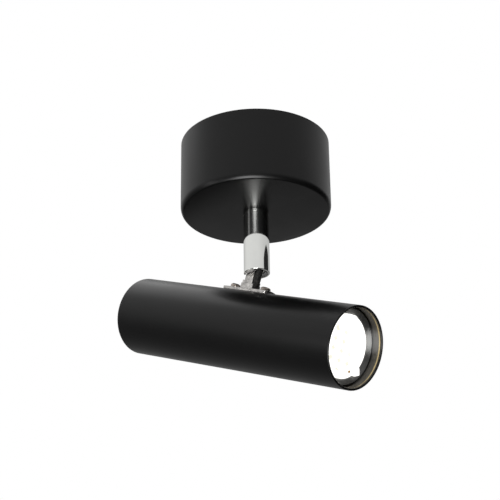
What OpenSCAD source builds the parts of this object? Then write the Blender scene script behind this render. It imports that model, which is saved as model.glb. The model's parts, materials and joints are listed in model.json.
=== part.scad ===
// Ceiling spotlight: round canopy, turning stem with a hidden tilt joint, long tube head.
// Millimetres. The ceiling is the plane z = 0 and the light hangs below it.
// The head stands in the XZ plane, its open front towards +X and pitched down.

/* [Canopy] */
// Outer diameter of the ceiling canopy
canopy_d = 106; // [90:1:140]
// Height of the canopy below the ceiling
canopy_h = 53.5; // [44:0.5:70]
// Sheet thickness of the canopy
canopy_wall = 1.5; // [1:0.1:2.5]
// Rounding of the lower edge of the canopy
canopy_edge_r = 4; // [2:0.5:6]

/* [Mounting bracket] */
// Turn of the bracket about the vertical, in degrees
bracket_turn = 40; // [0:5:90]
// Sheet thickness of the bracket
bracket_t = 1.5; // [1:0.1:2.5]
// Width of the bracket strap
bracket_w = 24; // [18:1:30]
// Height of the bent down end tabs
tab_h = 14; // [10:1:20]
// Width of the end tabs
tab_w = 14; // [10:1:18]
// Diameter of the circle through the two ceiling holes
ceiling_pcd = 64; // [56:1:74]
// Diameter of each ceiling hole
ceiling_hole_d = 5; // [4:0.5:6]
// Diameter of the cable hole in the bracket
cable_hole_d = 12; // [8:1:14]

/* [Stem] */
// Outer diameter of the chromed stem
stem_d = 18; // [15:0.5:22]
// Length of the stem below the canopy, collar included
stem_l = 47; // [40:1:80]
// Wall of the chromed sleeve
stem_wall = 1.5; // [1:0.1:2]
// Height of the collar above the sleeve
collar_h = 2; // [1.5:0.5:4]
// Thread diameter of the hollow nipple
nipple_d = 10; // [10:1:12]
// Bore of the hollow nipple
nipple_bore = 7.4; // [6:0.1:8]
// Height of the nipple above the floor of the canopy
nipple_rise = 10; // [9.5:0.5:14]

/* [Tilt joint] */
// Height of the pivot above the lower end of the stem
pivot_rise = 6; // [5:0.5:8]
// Diameter of the pivot pin
pin_d = 3.5; // [3:0.1:3.6]
// Thickness of the tongue along the pivot
tongue_t = 6.5; // [5:0.5:7]
// Width of the neck of the tongue
neck_w = 8.8; // [8:0.2:9.6]
// Width of the foot of the tongue
foot_w = 11; // [9:0.5:14]
// Height of the foot above the saddle
foot_h = 5.5; // [3:0.5:8]
// Outer diameter of the black sleeve round the wires
sleeve_d = 3.8; // [3.6:0.1:4]
// Pitch of the head below the horizontal in the rest pose, in degrees
rest_pitch = 21.5; // [0:0.5:45]
// Distance from the pivot to the axis of the tube
axis_drop = 46.6; // [40:0.1:70]

/* [Head] */
// Clearance of the lamp inside the head tube
lamp_play = 1; // [0.5:0.1:6]
// Wall of the head tube
tube_wall = 1.5; // [1:0.1:2.5]
// Tube length in front of the tongue
front_l = 105; // [95:1:150]
// Tube length behind the tongue
rear_l = 95; // [40:1:150]
// Thickness of the saddle plate
saddle_t = 2; // [1.5:0.1:3]
// Width of the saddle plate
saddle_w = 14; // [12:1:18]
// Length of the saddle plate
saddle_l = 41; // [38:1:50]
// Distance between the two saddle screws
saddle_pitch = 28.6; // [24:0.1:34]
// Thread diameter of the saddle screws
screw_d = 4; // [3:0.5:5]
// Depth of the skirt of the rear cap
cap_depth = 8; // [5:1:15]

/* [Lampholder] */
// Diameter of the ceramic lampholder
holder_d = 27; // [24:0.5:32]
// Length of the ceramic lampholder
holder_l = 16; // [14:1:22]
// Thickness of the strip that carries the lampholder
strip_t = 1.2; // [1:0.1:2]
// Width of the strip that carries the lampholder
strip_w = 12; // [10:1:16]

/* [Lamp] */
// Diameter of the lamp, of the standard twist base kind
lamp_d = 50; // [49:0.5:51]
// Length of the lamp from its face to the ends of its pins
lamp_l = 54; // [50:0.5:58]
// Diameter of the bright face
lens_d = 42; // [36:0.5:46]
// Width of the lug that keys the bright face in its rim
lug_w = 7.5; // [5:0.5:10]
// Diameter of the plastic base of the lamp
lamp_base_d = 25; // [22:0.5:28]
// Length of the plastic base of the lamp
lamp_base_l = 9.5; // [8:0.5:12]
// Number of cooling fins on the body of the lamp
fin_count = 20; // [12:1:24]
// Width of the gaps between the fins
fin_gap = 2.6; // [1.6:0.1:3]
// Depth of the lamp face behind the edge of the tube
lamp_recess = 7.5; // [2:0.5:15]
// Distance between the two pins
pin_pitch = 10; // [10:0.1:10.2]
// Turn from the locked to the free position, in degrees
twist_turn = 18; // [15:1:20]

/* [Wires] */
// Diameter of one insulated wire
wire_d = 1.2; // [1:0.05:1.25]

/* [Hidden] */
$fn = 96;
fit = 0.05;
gap = 0.3;
canopy_r = canopy_d / 2;
inner_r = canopy_r - canopy_wall;
floor_z = -canopy_h + canopy_wall;
stem_r = stem_d / 2;
bore_r = stem_r - stem_wall;
stem_top = -canopy_h - gap;
sleeve_top = stem_top - collar_h;
stem_end = -canopy_h - stem_l;
pivot_z = stem_end + pivot_rise;
nipple_r = nipple_d / 2;
nipple_grip = 10;
nipple_end = sleeve_top - nipple_grip;
washer_t = 1.5;
washer_r = nipple_r + 5;
stop_r = washer_r + 2.5;
stop_d = 3;
stop_tab_w = 3;
stop_turn = -50;
spring_t = 1.2;
nut_t = 4;
nut_af = 14;
friction_t = 0.65;
slot_w = tongue_t + 2 * friction_t + 4 * fit;
core_r = bore_r - fit;
core_end = stem_end + 0.6;
neck_r = neck_w / 2;
core_slot_top = pivot_z + neck_r + 9;
lamp_r = lamp_d / 2;
tube_in = lamp_r + lamp_play;
tube_r = tube_in + tube_wall;
tube_over = tube_r + 1;
saddle_r = tube_r + saddle_t;
saddle_top = saddle_r - axis_drop;
screw_x = saddle_pitch / 2;
head_h = 2.5;
head_d = 1.75 * screw_d;
strip_top = sqrt(tube_in * tube_in - strip_w * strip_w / 4) - gap;
strip_low = strip_top - strip_t;
m4_nut_t = 3.2;
m4_nut_af = 7;
nut_washer_t = 0.8;
nut_top = strip_low - nut_washer_t;
screw_tip = nut_top - m4_nut_t - 1;
face_x = front_l - lamp_recess;
pin_len = 7;
pin_tip_x = face_x - lamp_l;
base_x = pin_tip_x + pin_len;
holder_x = base_x - gap;
holder_back = holder_x - holder_l;
tab_x = holder_back - strip_t;
strip_back = -screw_x - 6;
rim_l = 5;
lens_r = lens_d / 2;
sleeve_in = sleeve_d / 2 - 0.25;
groove_r = sleeve_d / 2 + 2 * fit;
groove_x = pin_d / 2 + 0.75 + groove_r;
tab_out = sqrt(inner_r * inner_r - tab_w * tab_w / 4) - 0.5;
tab_screw_z = -tab_h + 5.5;
block_l = 30;
block_w = 18;
block_h = 13;
block_x = cable_hole_d / 2 + 2.5 + block_w / 2;
block_foot = 3;
block_foot_z = -bracket_t - block_foot;
block_head_r = 2.2;
pole_pitch = 10;
pole_z = -bracket_t - 5;
pole_r = 4;
tower_x = 5.5;
tower_r = 3.2;
insert_r = 2.2;
insert_in = 1.4;
clamp_r = 1.3;
clamp_top = 4.5;
clamp_head = 5.7;
m3_r = 1.5;
earth_x = -18;
tag_t = 0.8;
wire_r = wire_d / 2;
wire_ring = 1.15 * wire_d;
wire_bunch = 0.72 * wire_d;
wire_sides = 8;
nipple_top = floor_z + nipple_rise;
wire_break = nipple_top + 1.5;
joint_rise = 2.5;
pin_neck_r = 1.55;
pin_head_r = 2.4;
pin_head_l = 2.2;
contact_l = 1.2;
holder_screw_y = holder_d / 3;
holder_screw_l = 6;
plate_l = 3.4;
lamp_base_x = base_x + lamp_base_l;
lamp_base_r = lamp_base_d / 2;
lamp_neck_r = lamp_base_r + 3.5;
fin_root = lamp_base_r + 1.3;
fin_slope = 19;
fin_len = 40;
fin_cut = 30;
bell_step = 8;
body_front = face_x - rim_l;
lug_r = lens_r + 3;
lug_turn = 235;
led_ring_r = 11;
led_w = 3.5;
dome_r = 5;
dome_h = 0.9;
dome_pitch = [8.7, 6.2];
dome_start = [1.75, -0.7];
sleeve_rise = 1;
slack = 7;
// Where the stem hands the wires on to the head, seen from the pivot
joint_point = [
    groove_x * cos(rest_pitch) + joint_rise * sin(rest_pitch), 0,
    joint_rise * cos(rest_pitch) - groove_x * sin(rest_pitch)
];

// Helpers

// Turned into the direction of the mounting bracket
module bracket_place() {
    rotate([0, 0, bracket_turn]) children();
}

// Origin on the pivot, +X along the tube, +Z away from the tube
module head_place() {
    translate([0, 0, pivot_z]) rotate([0, rest_pitch, 0]) children();
}

// Origin on the tube axis below the tongue, +X along the tube
module tube_place() {
    head_place() translate([0, 0, -axis_drop]) children();
}

// Cylinder along +X from x = a to x = b
module rod_x(a, b, r) {
    translate([a, 0, 0]) rotate([0, 90, 0]) cylinder(h = b - a, r = r);
}

// Cylinder along +Y from y = a to y = b
module rod_y(a, b, r) {
    translate([0, a, 0]) rotate([-90, 0, 0]) cylinder(h = b - a, r = r);
}

// Cylinder along +Z from z = a to z = b
module rod_z(a, b, r) {
    translate([0, 0, a]) cylinder(h = b - a, r = r);
}

// Ring along +Z
module ring_z(a, b, ri, ro) {
    difference() {
        rod_z(a, b, ro);
        rod_z(a - 1, b + 1, ri);
    }
}

// Ring along +X
module ring_x(a, b, ri, ro) {
    difference() {
        rod_x(a, b, ro);
        rod_x(a - 1, b + 1, ri);
    }
}

// Round cup with a rounded lower edge, standing on z = 0
module rounded_disc(r, h, e) {
    rotate_extrude() {
        square([r - e, h]);
        translate([0, e]) square([r, h - e]);
        intersection() {
            translate([r - e, e]) circle(e);
            square([r, h]);
        }
    }
}

// Hexagonal prism along +Z, af across its flats
module hex_z(a, b, af) {
    translate([0, 0, a]) cylinder(h = b - a, d = af / cos(30), $fn = 6);
}

function unit(v) = v / norm(v);

// Point of a smooth curve through four controls, between the middle two
function curve(a, b, c, d, t) = 0.5 * (2 * b + (c - a) * t
    + (2 * a - 5 * b + 4 * c - d) * t * t + (3 * b - a - 3 * c + d) * t * t * t);

// Smooth route through the points, with n steps for each leg
function route(p, n) = [
    for (i = [0 : len(p) - 2], k = [0 : n - 1])
        curve(p[max(i - 1, 0)], p[i], p[i + 1], p[min(i + 2, len(p) - 1)], k / n),
    p[len(p) - 1]
];

// Direction of a route at its point i
function heading(q, i) = unit(q[min(i + 1, len(q) - 1)] - q[max(i - 1, 0)]);

// Point given in the turned frame of the bracket
function supply_point(p) = [
    p[0] * cos(bracket_turn) - p[1] * sin(bracket_turn),
    p[0] * sin(bracket_turn) + p[1] * cos(bracket_turn),
    p[2]
];

// Direction of wire i from the common line
function bunch_turn(i) = bracket_turn + 60 - 120 * i;

// Point at radius r from the common line, on the side of wire i
function bunch_point(i, r, z) = [r * cos(bunch_turn(i)), r * sin(bunch_turn(i)), z];

// Offset of wire i from the line of the wires, in the plane across it
function bunch_offset(i) = wire_bunch * [cos(90 - 120 * i), sin(90 - 120 * i), 0];

// Insulated wire along a route
module wire(p, r) {
    q = route(p, 5);
    side = [0.29, 0.93, 0.21];
    n = len(q);
    rings = [
        for (i = [0 : n - 1])
            let (t = heading(q, i), u = unit(cross(t, side)), v = cross(t, u))
            for (k = [0 : wire_sides - 1])
                q[i] + r * (cos(k * 360 / wire_sides) * u + sin(k * 360 / wire_sides) * v)
    ];
    walls = [
        for (i = [0 : n - 2], k = [0 : wire_sides - 1])
            let (m = (k + 1) % wire_sides, a = i * wire_sides, b = a + wire_sides)
            each [[a + k, b + k, a + m], [a + m, b + k, b + m]]
    ];
    first = [for (k = [0 : wire_sides - 1]) k];
    last = [for (k = [wire_sides - 1 : -1 : 0]) (n - 1) * wire_sides + k];
    polyhedron(points = rings, faces = concat(walls, [first, last]), convexity = 4);
}

// Fixed pieces under the ceiling

module mounting_bracket() color("silver") bracket_place() difference() {
    union() {
        // The ends of the strap follow the round canopy
        intersection() {
            translate([-tab_out, -bracket_w / 2, -bracket_t])
                cube([2 * tab_out, bracket_w, bracket_t]);
            rod_z(-bracket_t, 0, inner_r - gap);
        }
        for (s = [0, 1]) mirror([s, 0, 0])
            translate([tab_out - bracket_t, -tab_w / 2, -tab_h])
                cube([bracket_t, tab_w, tab_h]);
    }
    for (s = [0, 1]) mirror([s, 0, 0]) {
        translate([ceiling_pcd / 2, 0, 0]) rod_z(-bracket_t - 1, 1, ceiling_hole_d / 2);
        translate([0, 0, tab_screw_z]) rod_x(tab_out - 5, tab_out + 5, 2 + fit);
    }
    rod_z(-bracket_t - 1, 1, cable_hole_d / 2);
    translate([earth_x, 0, 0]) rod_z(-bracket_t - 1, 1, 2 + fit);
    translate([block_x, pole_pitch / 2, 0]) rod_z(-bracket_t - 1, 1, m3_r + fit);
}

module canopy() color("dimgray") difference() {
    translate([0, 0, -canopy_h]) difference() {
        rounded_disc(canopy_r, canopy_h, canopy_edge_r);
        translate([0, 0, canopy_wall])
            rounded_disc(inner_r, canopy_h, max(canopy_edge_r - canopy_wall, 0.5));
    }
    rod_z(-canopy_h - 1, floor_z + 1, nipple_r + 2 * fit);
    bracket_place() for (s = [0, 1]) mirror([s, 0, 0])
        translate([0, 0, tab_screw_z]) rod_x(inner_r - 3, canopy_r + 3, 2 + gap);
}

module canopy_screws() color("gray") bracket_place() for (s = [0, 1]) mirror([s, 0, 0])
    translate([0, 0, tab_screw_z]) difference() {
        rod_x(tab_out - bracket_t - 2, canopy_r - 0.3, 2);
        translate([canopy_r - 2.8, 0, 0]) rotate([0, 90, 0]) hex_z(0, 5, 2);
    }

module terminal_block() color("white") bracket_place() translate([block_x, 0, 0]) difference() {
    union() {
        translate([-block_w / 2, -block_l / 2, block_foot_z])
            cube([block_w, block_l, block_foot]);
        for (i = [-1 : 1]) translate([0, i * pole_pitch, 0]) {
            translate([0, 0, pole_z]) rod_x(-block_w / 2, block_w / 2, pole_r);
            for (x = [-tower_x, tower_x]) translate([x, 0, 0])
                rod_z(-bracket_t - block_h, pole_z, tower_r);
        }
    }
    for (i = [-1 : 1]) translate([0, i * pole_pitch, 0]) {
        translate([0, 0, pole_z]) rod_x(-block_w, block_w, insert_r + fit);
        for (x = [-tower_x, tower_x]) translate([x, 0, 0])
            rod_z(-bracket_t - block_h - 1, pole_z, tower_r - 1.2);
    }
    translate([0, pole_pitch / 2, 0]) {
        rod_z(-block_h, 1, m3_r + fit);
        rod_z(-bracket_t - block_h - 1, block_foot_z, block_head_r + gap);
    }
}

module terminal_inserts() color("goldenrod") bracket_place() for (i = [-1 : 1])
    translate([block_x, i * pole_pitch, pole_z]) difference() {
        rod_x(1 - block_w / 2, block_w / 2 - 1, insert_r);
        rod_x(-block_w, block_w, insert_in);
        for (x = [-tower_x, tower_x]) translate([x, 0, 0]) rod_z(-5, 0, clamp_r + fit);
    }

module terminal_screws() color("silver") bracket_place()
    for (i = [-1 : 1], x = [-tower_x, tower_x])
        translate([block_x + x, i * pole_pitch, pole_z]) difference() {
            union() {
                rod_z(-clamp_top, -wire_d / 2 - 0.1, clamp_r);
                rod_z(-clamp_head, -clamp_top, clamp_r + 0.4);
            }
            translate([-2 * clamp_r, -0.3, -clamp_head - 1]) cube([4 * clamp_r, 0.6, 1.6]);
        }

module block_screw() color("silver") bracket_place()
    translate([block_x, pole_pitch / 2, 0]) difference() {
        union() {
            rod_z(block_foot_z, -0.2, m3_r);
            rod_z(block_foot_z - 1.6, block_foot_z, block_head_r);
        }
        translate([-3, -0.3, block_foot_z - 2.6]) cube([6, 0.6, 1.7]);
    }

module earth_tag() color("goldenrod") bracket_place() translate([earth_x, 0, 0])
    difference() {
        union() {
            rod_z(-bracket_t - tag_t, -bracket_t, 4);
            translate([0, -1.6, -bracket_t - tag_t]) cube([9, 3.2, tag_t]);
        }
        rod_z(-bracket_t - 2, 1, 2 + fit);
    }

module earth_screw() color("goldenrod") bracket_place() translate([earth_x, 0, 0])
    difference() {
        union() {
            rod_z(-bracket_t - tag_t, 0, 2);
            rod_z(-bracket_t - tag_t - 2.4, -bracket_t - tag_t, 3.5);
        }
        translate([-4, -0.4, -bracket_t - tag_t - 3.4]) cube([8, 0.8, 2]);
    }

// Wires: live, neutral and earth, spread evenly round their common line
module supply_wires() color("saddlebrown") {
    for (i = [0 : 1]) wire([
        supply_point([block_x - block_w / 2 + 4, (1 - 2 * i) * pole_pitch, pole_z]),
        supply_point([block_x - block_w / 2 - 1, (1 - 2 * i) * pole_pitch, pole_z]),
        supply_point([block_x - block_w / 2 - 4, (1 - 2 * i) * 7, pole_z - 5]),
        bunch_point(i, 2.2 * wire_ring, -canopy_h * 0.5),
        bunch_point(i, 1.2 * wire_ring, wire_break + 6),
        bunch_point(i, wire_ring, wire_break)
    ], wire_r);
    wire([
        supply_point([earth_x + 6.5, 0, -bracket_t - tag_t - wire_r - 0.15]),
        supply_point([earth_x + 9, 0, -bracket_t - tag_t - wire_r - 0.7]),
        supply_point([earth_x + 13, 0, pole_z - 5]),
        bunch_point(2, 2.2 * wire_ring, -canopy_h * 0.5),
        bunch_point(2, 1.2 * wire_ring, wire_break + 6),
        bunch_point(2, wire_ring, wire_break)
    ], wire_r);
}

// Turning stem

module stem_nipple() color("gold") difference() {
    union() {
        rod_z(nipple_end, nipple_top, nipple_r - 0.4);
        rod_z(nipple_end + 0.5, nipple_top - 0.5, nipple_r);
    }
    rod_z(nipple_end - 1, nipple_top + 1, nipple_bore / 2);
}

// Its tab meets the stop stud before the wires are twisted
module stem_washer() color("silver") difference() {
    union() {
        rod_z(floor_z, floor_z + washer_t, washer_r);
        rotate([0, 0, stop_turn]) translate([0, -stop_tab_w / 2, floor_z])
            cube([stop_r + stop_d / 2, stop_tab_w, washer_t]);
    }
    rod_z(floor_z - 1, floor_z + washer_t + 1, nipple_r + gap);
}

// Stud welded on the floor of the canopy, on the side away from the tab at rest
module stop_stud() color("silver") rotate([0, 0, stop_turn + 180]) translate([stop_r, 0, 0])
    rod_z(floor_z, floor_z + 2 * washer_t, stop_d / 2);

module spring_washer() color("silver") translate([0, 0, floor_z + washer_t]) difference() {
    ring_z(0, spring_t, nipple_r + gap, nipple_r + 3.5);
    translate([nipple_r + 1.8, 0, spring_t / 2]) rotate([25, 0, 0])
        cube([6, 0.8, 4], center = true);
}

module stem_nut() color("silver") translate([0, 0, floor_z + washer_t + spring_t]) difference() {
    hex_z(0, nut_t, nut_af);
    rod_z(-1, nut_t + 1, nipple_r + fit);
}

module stem_collar() color("lightgray") difference() {
    translate([0, 0, sleeve_top]) rotate_extrude() polygon([
        [0, 0], [stem_r - 0.4, 0], [stem_r, 0.4], [stem_r, collar_h - 0.3],
        [stem_r - 0.3, collar_h], [0, collar_h]
    ]);
    rod_z(sleeve_top - 1, stem_top + 1, nipple_r + fit);
}

module stem_sleeve() color("lightgray") difference() {
    translate([0, 0, stem_end]) rotate_extrude() polygon([
        [bore_r, 0.3], [bore_r + 0.3, 0], [stem_r - 0.3, 0], [stem_r, 0.3],
        [stem_r, sleeve_top - stem_end - 0.3], [stem_r - 0.3, sleeve_top - stem_end],
        [bore_r, sleeve_top - stem_end]
    ]);
    // Slot at the back, where the tongue swings out as the head pitches down
    translate([-stem_r - 1, -slot_w / 2, stem_end - 1])
        cube([stem_r + 1, slot_w, pivot_rise]);
    translate([0, 0, pivot_z - 1]) rod_x(-stem_r - 1, 0, slot_w / 2);
}

module joint_core() color("gray") difference() {
    rod_z(core_end, sleeve_top, core_r);
    rod_z(nipple_end, sleeve_top + 1, nipple_r + fit);
    rod_z(core_slot_top - 1, sleeve_top, nipple_bore / 2);
    translate([-stem_r, -slot_w / 2, core_end - 1])
        cube([stem_d, slot_w, core_slot_top - core_end + 1]);
    translate([0, 0, pivot_z]) rod_y(-stem_r, stem_r, pin_d / 2 + fit);
}

module pivot_pin() color("silver") translate([0, 0, pivot_z]) difference() {
    union() {
        rod_y(-bore_r + 0.5, bore_r - 0.5, pin_d / 2 - 0.3);
        rod_y(-bore_r + 0.8, bore_r - 0.8, pin_d / 2);
    }
}

module friction_washers() color("silver") translate([0, 0, pivot_z]) for (s = [0, 1])
    mirror([0, s, 0]) difference() {
        rod_y(tongue_t / 2 + fit, tongue_t / 2 + fit + friction_t, neck_r - 0.2);
        rod_y(0, stem_r, pin_d / 2 + 2 * fit);
    }

module stem_wires() color("saddlebrown") for (i = [0 : 2]) wire([
    bunch_point(i, wire_ring, wire_break - gap),
    bunch_point(i, wire_ring, nipple_end),
    [1, 0, core_slot_top + 2.5] + 1.3 * bunch_offset(i),
    [groove_x - 0.3, 0, pivot_z + neck_r + 2.6] + 1.15 * bunch_offset(i),
    [joint_point[0] + 0.2, 0, pivot_z + joint_point[2] + 2] + bunch_offset(i),
    [joint_point[0], 0, pivot_z + joint_point[2] + gap] + bunch_offset(i)
], wire_r);

// Head: tongue, tube and what it holds

// Plate outline with rounded corners, long along X
module plate_shape(l, w, r, h) {
    for (x = [-1, 1], y = [-1, 1])
        translate([x * (l / 2 - r), y * (w / 2 - r), 0]) cylinder(h = h, r = r);
    translate([-l / 2, r - w / 2, 0]) cube([l, w - 2 * r, h]);
    translate([r - l / 2, -w / 2, 0]) cube([l - 2 * r, w, h]);
}

module tongue_bracket() color("silver") head_place() difference() {
    union() {
        rod_y(-tongue_t / 2, tongue_t / 2, neck_r);
        translate([-neck_r, -tongue_t / 2, saddle_top - 1])
            cube([neck_w, tongue_t, 1 - saddle_top]);
        translate([-foot_w / 2 - 0.5, -tongue_t / 2, saddle_top - 1])
            cube([foot_w, tongue_t, foot_h + 1]);
        translate([-foot_w / 2 - 0.5, -tongue_t / 2 - 0.8, saddle_top - 1])
            cube([foot_w, tongue_t + 1.6, foot_h * 0.6 + 1]);
        // Saddle curved to the tube
        translate([0, 0, -axis_drop]) intersection() {
            ring_x(-saddle_l / 2, saddle_l / 2, tube_r + fit, saddle_r);
            translate([0, 0, tube_r - 5]) plate_shape(saddle_l, saddle_w, 3, 10);
        }
    }
    rod_y(-tongue_t, tongue_t, pin_d / 2 + fit);
    for (x = [-screw_x, screw_x]) translate([x, 0, 0])
        rod_z(-axis_drop, saddle_top + 1, screw_d / 2 + gap);
    // Groove and hole for the wire sleeve
    translate([groove_x, 0, 0]) rod_z(-axis_drop, neck_r + 1, groove_r);
    translate([groove_x, -groove_r, saddle_top]) cube([neck_w, 2 * groove_r, neck_r - saddle_top + 1]);
    // Room under the tongue for the tube
    translate([0, 0, -axis_drop]) rod_x(-foot_w, foot_w, tube_r + fit);
}

module screw_head() {
    rotate_extrude() difference() {
        union() {
            square([head_d / 2, head_h - 1.2]);
            square([head_d / 2 - 1.2, head_h]);
            translate([head_d / 2 - 1.2, head_h - 1.2]) circle(1.2);
        }
        translate([0, -2]) square([head_d, 2]);
    }
}

module saddle_screws() color("silver") head_place() for (x = [-screw_x, screw_x])
    translate([x, 0, 0]) difference() {
        union() {
            rod_z(screw_tip - axis_drop, saddle_top + 0.1, screw_d / 2);
            translate([0, 0, saddle_top]) screw_head();
        }
        for (a = [0, 90]) rotate([0, 0, a])
            translate([-head_d / 4, -0.45, saddle_top + head_h - 1.4]) cube([head_d / 2, 0.9, 3]);
    }

module saddle_nuts() color("silver") tube_place() for (x = [-screw_x, screw_x])
    translate([x, 0, 0]) difference() {
        hex_z(nut_top - m4_nut_t, nut_top, m4_nut_af);
        rod_z(0, tube_r, screw_d / 2 + fit);
    }

module nut_washer() color("silver") tube_place() translate([screw_x, 0, 0])
    ring_z(nut_top, strip_low, screw_d / 2 + gap, 4.5);

module head_earth_tag() color("goldenrod") tube_place() translate([-screw_x, 0, 0]) difference() {
    union() {
        rod_z(nut_top, strip_low, 4);
        translate([-1.6, -8, nut_top]) cube([3.2, 8, nut_washer_t]);
    }
    rod_z(0, tube_r, screw_d / 2 + gap);
}

module head_tube() color("dimgray") tube_place() difference() {
    rod_x(-rear_l, front_l, tube_r);
    rod_x(-rear_l - 1, front_l + 1, tube_in);
    translate([front_l - 0.5, 0, 0]) rotate([0, 90, 0])
        cylinder(h = 1, r1 = tube_in, r2 = tube_in + 1);
    for (x = [-screw_x, screw_x]) translate([x, 0, 0]) rod_z(0, tube_over, screw_d / 2 + gap);
    translate([groove_x, 0, 0]) rod_z(0, tube_over, groove_r);
}

module rear_cap() color("dimgray") tube_place() difference() {
    rod_x(-rear_l + 0.6, -rear_l + cap_depth, tube_in - fit);
    rod_x(-rear_l + 2.1, front_l, tube_in - tube_wall);
}

module holder_strip() color("silver") tube_place() difference() {
    union() {
        translate([strip_back, -strip_w / 2, strip_low])
            cube([holder_back - strip_back, strip_w, strip_t]);
        translate([tab_x, -strip_w / 2, 0]) cube([strip_t, strip_w, strip_top]);
        rod_x(tab_x, holder_back, holder_d / 2);
    }
    for (x = [-screw_x, screw_x]) translate([x, 0, 0]) rod_z(0, tube_over, screw_d / 2 + gap);
    translate([groove_x, 0, 0]) rod_z(0, tube_over, groove_r);
    for (y = [-holder_screw_y, holder_screw_y]) translate([0, y, 0])
        rod_x(tab_x - 1, holder_back + 1, m3_r + gap);
    for (z = [-pin_pitch / 2, pin_pitch / 2]) translate([0, 0, z])
        rod_x(tab_x - 1, holder_back + 1, wire_r + 0.8);
}

// Arc shaped room for a pin that turns by twist_turn, with half width w
module pin_room(a, b, w) {
    for (s = [0, 180]) rotate([s, 0, 0]) translate([a, 0, 0]) rotate([0, 90, 0]) {
        rotate_extrude(angle = twist_turn) translate([pin_pitch / 2 - w, 0]) square([2 * w, b - a]);
        for (t = [0, twist_turn]) rotate([0, 0, t])
            translate([pin_pitch / 2, 0, 0]) cylinder(h = b - a, r = w);
    }
}

module lampholder() color("ivory") tube_place() difference() {
    rod_x(holder_back, holder_x, holder_d / 2);
    pin_room(pin_tip_x - gap - contact_l, holder_x - plate_l, pin_head_r + 0.4);
    pin_room(holder_x - plate_l - 1, holder_x + 1, pin_neck_r + 0.35);
    for (s = [0, 180]) rotate([s, 0, 0]) rotate([0, 90, 0]) rotate([0, 0, twist_turn])
        translate([pin_pitch / 2, 0, 0])
            rod_z(holder_x - plate_l - 1, holder_x + 1, pin_head_r + 0.4);
    for (y = [-holder_screw_y, holder_screw_y]) translate([0, y, 0])
        rod_x(holder_back - 1, holder_back + holder_screw_l + 0.5, m3_r + fit);
    for (z = [-pin_pitch / 2, pin_pitch / 2]) translate([0, 0, z])
        rod_x(holder_back - 1, pin_tip_x, wire_r + 0.3);
}

module holder_contacts() color("goldenrod") tube_place() for (s = [0, 180]) rotate([s, 0, 0])
    translate([pin_tip_x - gap - contact_l, -2, -pin_pitch / 2 - 1.8]) cube([contact_l, 4, 3.6]);

module holder_screws() color("silver") tube_place()
    for (y = [-holder_screw_y, holder_screw_y]) translate([0, y, 0]) difference() {
        union() {
            rod_x(tab_x - 0.1, holder_back + holder_screw_l, m3_r);
            rod_x(tab_x - 2, tab_x, 2.7);
        }
        translate([tab_x - 3, -0.4, -3]) cube([2, 0.8, 6]);
    }

module wire_sleeve() color("black") head_place() translate([groove_x, 0, 0]) difference() {
    rod_z(strip_low - axis_drop - 3, sleeve_rise, sleeve_d / 2);
    rod_z(-axis_drop, sleeve_rise + 1, sleeve_in);
}

// The live and neutral wires run to the contacts, the earth wire to the rear nut
module head_wires() color("saddlebrown") head_place() {
    for (i = [0 : 1]) wire([
        [groove_x, 0, joint_rise] + bunch_offset(i),
        [groove_x, 0, saddle_top] + bunch_offset(i),
        [groove_x, 0, strip_low - axis_drop - 5] + 1.2 * bunch_offset(i),
        [groove_x + 1.5 + 3 * i, 1.8 - 2.4 * i, strip_low - axis_drop - 14 + 3 * i],
        [tab_x - slack, 0, (i - 0.5) * pin_pitch - axis_drop],
        [tab_x - 2, 0, (i - 0.5) * pin_pitch - axis_drop],
        [pin_tip_x - gap - contact_l, 0, (i - 0.5) * pin_pitch - axis_drop]
    ], wire_r);
    wire([
        [groove_x, 0, joint_rise] + bunch_offset(2),
        [groove_x, 0, saddle_top] + bunch_offset(2),
        [groove_x, 0, strip_low - axis_drop - 5] + 1.2 * bunch_offset(2),
        [groove_x - 2.6, -1.6, strip_low - axis_drop - 9.5],
        [4 - screw_x, -6, strip_low - axis_drop - 5],
        [-screw_x, -6.2, strip_low - nut_washer_t - axis_drop - wire_r]
    ], wire_r);
}

// Lamp

module lamp_base() color("white") tube_place() difference() {
    rod_x(base_x, lamp_base_x, lamp_base_r);
    for (s = [0, 180]) rotate([s, 0, 0]) translate([0, 0, pin_pitch / 2])
        rod_x(base_x - 1, base_x + 3, pin_neck_r + fit);
}

module lamp_body() color("silver") tube_place() difference() {
    rotate([0, 90, 0]) rotate_extrude() polygon([
        [0, lamp_base_x], [lamp_base_r, lamp_base_x], [lamp_neck_r, lamp_base_x + rim_l],
        [lamp_r - 2, body_front - bell_step], [lamp_r - 0.6, body_front - bell_step + 2],
        [lamp_r - 0.6, body_front], [0, body_front]
    ]);
    for (i = [1 : fin_count]) rotate([i * 360 / fin_count, 0, 0])
        translate([lamp_base_x - 1, -fin_gap / 2, fin_root]) rotate([0, -fin_slope, 0])
            cube([fin_len, fin_gap, fin_cut]);
    rod_x(body_front - 1.6, face_x, lens_r - 1);
}

module lamp_rim() color("gray") tube_place() difference() {
    union() {
        ring_x(body_front, face_x - 0.8, lens_r + gap, lamp_r);
        ring_x(body_front, face_x, lens_r + gap, lamp_r - 0.8);
        ring_x(body_front, face_x - 3.9, lens_r - 1.2, lens_r + 1);
    }
    // Notch for the lug of the bright face
    rotate([lug_turn, 0, 0]) translate([face_x - 3.9, -lug_w / 2 - gap, lens_r - 1])
        cube([rim_l, lug_w + 2 * gap, lug_r - lens_r + 1 + gap]);
}

module lamp_board() color("white") tube_place()
    rod_x(body_front - 1.6, body_front - 0.4, lens_r - 1.3);

module lamp_leds() color("khaki") tube_place() for (a = [0 : 45 : 315]) rotate([a, 0, 0])
    translate([body_front - 0.4, -led_w / 2, led_ring_r]) cube([0.8, led_w, led_w]);

// Shallow lens on the optic, its flat side on x = 0
module dome() rotate([0, 90, 0]) rotate_extrude() intersection() {
    translate([0, dome_h - dome_r]) circle(dome_r);
    translate([0, -0.2]) square([dome_r, dome_h + 0.2]);
}

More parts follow.
